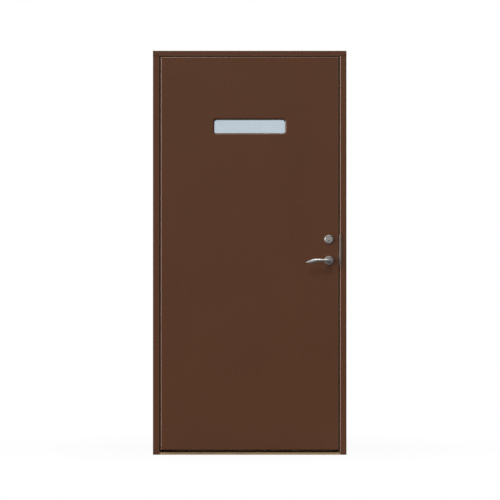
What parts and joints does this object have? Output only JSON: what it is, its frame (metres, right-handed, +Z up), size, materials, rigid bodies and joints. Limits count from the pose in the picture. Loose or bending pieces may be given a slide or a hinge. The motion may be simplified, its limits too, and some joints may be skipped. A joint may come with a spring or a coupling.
{
  "type": "glazed steel door with frame",
  "caption": "Flush painted steel door with a small glazed slot, lever handle, cylinder lock and dead bolt, hung on concealed hinges in its rebated frame.",
  "frame": {"origin": "on the floor, at mid-width of the frame and at mid-thickness of the closed leaf, which is the middle of the bounding box's underside", "axes": "+Z up, +X from the hinge side to the lock side, +Y from the pull face to the room"},
  "size_m": [0.99, 0.166, 2.066],
  "materials": {
    "brown_paint": "satin powder coat",
    "zinc_steel": "zinc plated",
    "satin_chrome": "satin",
    "plated_brass": "satin nickel plated",
    "oak": "oiled",
    "black_rubber": "matte",
    "mineral_wool": "fibrous",
    "tinted_glass": "pale grey-blue tint",
    "spacer_aluminium": "mill"
  },
  "bodies": {
    "frame": {"frame_head": "brown_paint", "frame_hinge_jamb": "brown_paint", "frame_lock_jamb": "brown_paint", "frame_fixing_tubes": "zinc_steel", "threshold": "oak", "seal_head": "black_rubber", "seal_hinge_jamb": "black_rubber", "seal_lock_jamb": "black_rubber", "seal_threshold": "black_rubber", "strike_plate": "satin_chrome", "strike_box": "zinc_steel", "strike_screws": "satin_chrome", "hinge_washers": "zinc_steel", "hinge_lower_bracket": "zinc_steel", "hinge_middle_bracket": "zinc_steel", "hinge_upper_bracket": "zinc_steel", "hinge_lower_pin": "zinc_steel", "hinge_middle_pin": "zinc_steel", "hinge_upper_pin": "zinc_steel"},
    "leaf": {"hinge_lower_arm": "zinc_steel", "hinge_middle_arm": "zinc_steel", "hinge_upper_arm": "zinc_steel", "hinge_plate_screws": "zinc_steel", "leaf_front_skin": "brown_paint", "leaf_rear_skin": "brown_paint", "leaf_hinge_channel": "zinc_steel", "leaf_lock_channel": "zinc_steel", "leaf_core": "mineral_wool", "glass_outer_pane": "tinted_glass", "glass_inner_pane": "tinted_glass", "glass_spacer": "spacer_aluminium", "glass_front_gasket": "black_rubber", "glass_rear_gasket": "black_rubber", "glass_setting_blocks": "black_rubber", "glazing_bead": "brown_paint", "glazing_bead_screws": "zinc_steel", "lock_case": "zinc_steel", "lock_case_cover": "zinc_steel", "lock_forend": "satin_chrome", "lock_forend_screws": "satin_chrome", "cylinder_body": "plated_brass", "cylinder_ring": "satin_chrome", "lever_outside_rosette": "satin_chrome", "lever_inside_rosette": "satin_chrome", "thumbturn_rosette": "satin_chrome"},
    "lever_set": {"lever_outside": "satin_chrome", "lever_inside": "satin_chrome", "lever_spindle": "zinc_steel", "lock_follower": "zinc_steel"},
    "latch": {"latch_bolt": "satin_chrome"},
    "lock_turn": {"cylinder_plug": "plated_brass", "bolt_tailpiece": "zinc_steel", "bolt_cam": "zinc_steel", "thumbturn": "satin_chrome"},
    "bolt": {"dead_bolt": "satin_chrome"}
  },
  "joints": [
    {"name": "leaf_swing", "type": "hinge", "parent": "frame", "child": "leaf", "pos_m": [-0.4775, -0.011, 0], "axis": [0, 0, -1], "range_deg": [0, 95]},
    {"name": "lever_turn", "type": "hinge", "parent": "leaf", "child": "lever_set", "pos_m": [0.405, 0, 0.993], "axis": [0, -1, 0], "range_deg": [0, 40], "stiffness_Nm_per_rad": 1.5, "springref_deg": -34.38},
    {"name": "latch_slide", "type": "slide", "parent": "leaf", "child": "latch", "axis": [-1, 0, 0], "range_m": [0, 0.011]},
    {"name": "thumb_turn", "type": "hinge", "parent": "leaf", "child": "lock_turn", "pos_m": [0.405, 0, 1.0945], "axis": [0, -1, 0], "range_deg": [0, 90]},
    {"name": "bolt_slide", "type": "slide", "parent": "leaf", "child": "bolt", "axis": [1, 0, 0], "range_m": [0, 0.02]}
  ],
  "couplings": [
    {"joint": "latch_slide", "follows": "lever_turn", "m_per_rad": 0.015756},
    {"joint": "thumb_turn", "follows": "bolt_slide", "rad_per_m": 78.539}
  ]
}
